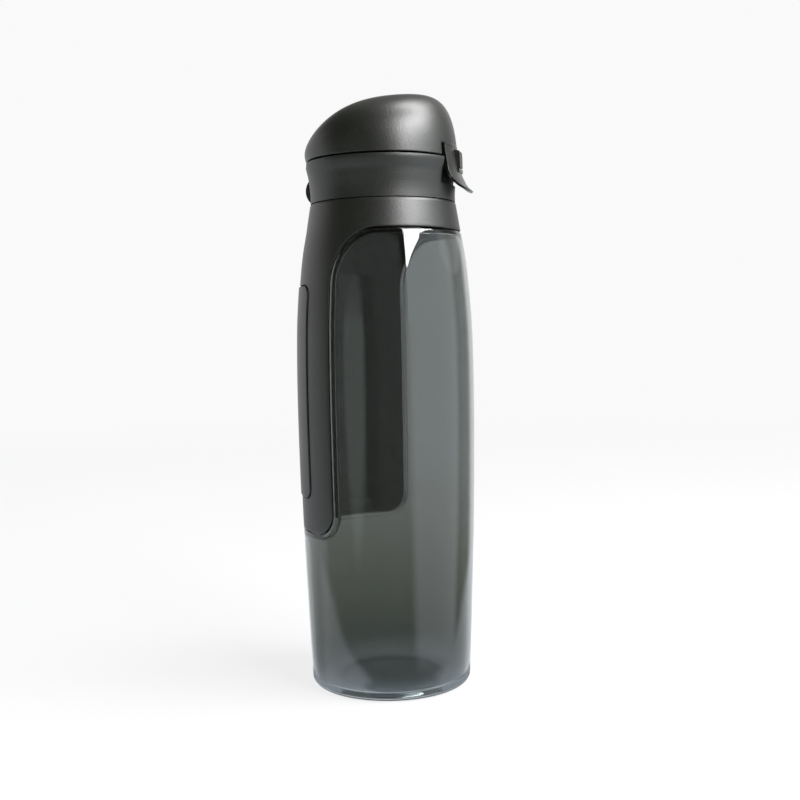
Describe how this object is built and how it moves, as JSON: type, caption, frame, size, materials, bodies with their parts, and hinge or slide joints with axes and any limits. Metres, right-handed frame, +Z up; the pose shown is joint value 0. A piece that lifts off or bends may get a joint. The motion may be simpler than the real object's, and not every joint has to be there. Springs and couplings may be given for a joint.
{
  "type": "sports water bottle with a card compartment",
  "caption": "Clear smoke grey sports bottle with a flip top lid, a latch tongue and a hinged card compartment set in a dark half shell.",
  "frame": {"origin": "on the bottle's axis, at the level of its foot", "axes": "+Z up along the bottle's axis, -X towards the middle of the compartment's door; the latch points 11.5 degrees from +X towards +Y"},
  "size_m": [0.0805, 0.0794, 0.2624],
  "materials": {
    "bottle_body": "clear smoke grey copolyester, gloss",
    "storage_shell": "fine matte charcoal",
    "storage_door": "fine matte charcoal",
    "door_hinge_pin": "drawn stainless wire",
    "neck_gasket": "soft silicone",
    "cap_base": "fine matte charcoal",
    "drinking_spout": "satin grey",
    "lid_hinge_pin": "drawn stainless wire",
    "dome_lid": "fine matte charcoal",
    "spout_seal": "soft silicone",
    "latch_tongue": "fine matte charcoal"
  },
  "bodies": {
    "bottle": {"bottle_body": "bottle_body", "storage_shell": "storage_shell", "door_hinge_pin": "door_hinge_pin"},
    "door": {"storage_door": "storage_door"},
    "gasket_carrier": {"neck_gasket": "neck_gasket"},
    "cap": {"cap_base": "cap_base", "drinking_spout": "drinking_spout", "lid_hinge_pin": "lid_hinge_pin"},
    "dome": {"dome_lid": "dome_lid", "spout_seal": "spout_seal"},
    "latch": {"latch_tongue": "latch_tongue"}
  },
  "joints": [
    {"name": "cap_lift", "type": "slide", "parent": "bottle", "child": "gasket_carrier", "axis": [0, 0, 1], "range_m": [0, 0.004]},
    {"name": "cap_turn", "type": "hinge", "parent": "gasket_carrier", "child": "cap", "pos_m": [0, 0, 0.2], "axis": [0, 0, 1], "range_deg": [0, 360]},
    {"name": "lid_hinge", "type": "hinge", "parent": "cap", "child": "dome", "pos_m": [-0.02979, -0.00606, 0.2369], "axis": [0.1994, -0.9799, 0], "range_deg": [0, 95]},
    {"name": "latch_flex", "type": "hinge", "parent": "dome", "child": "latch", "pos_m": [0.03204, 0.00652, 0.2393], "axis": [0.1994, -0.9799, 0], "range_deg": [0, 12], "stiffness_Nm_per_rad": 0.05},
    {"name": "door_hinge", "type": "hinge", "parent": "bottle", "child": "door", "pos_m": [-0.01973, 0.03318, 0.124], "axis": [0, 0, -1], "range_deg": [0, 105]}
  ],
  "couplings": [
    {"joint": "cap_lift", "follows": "cap_turn", "m_per_rad": 0.0006366}
  ]
}
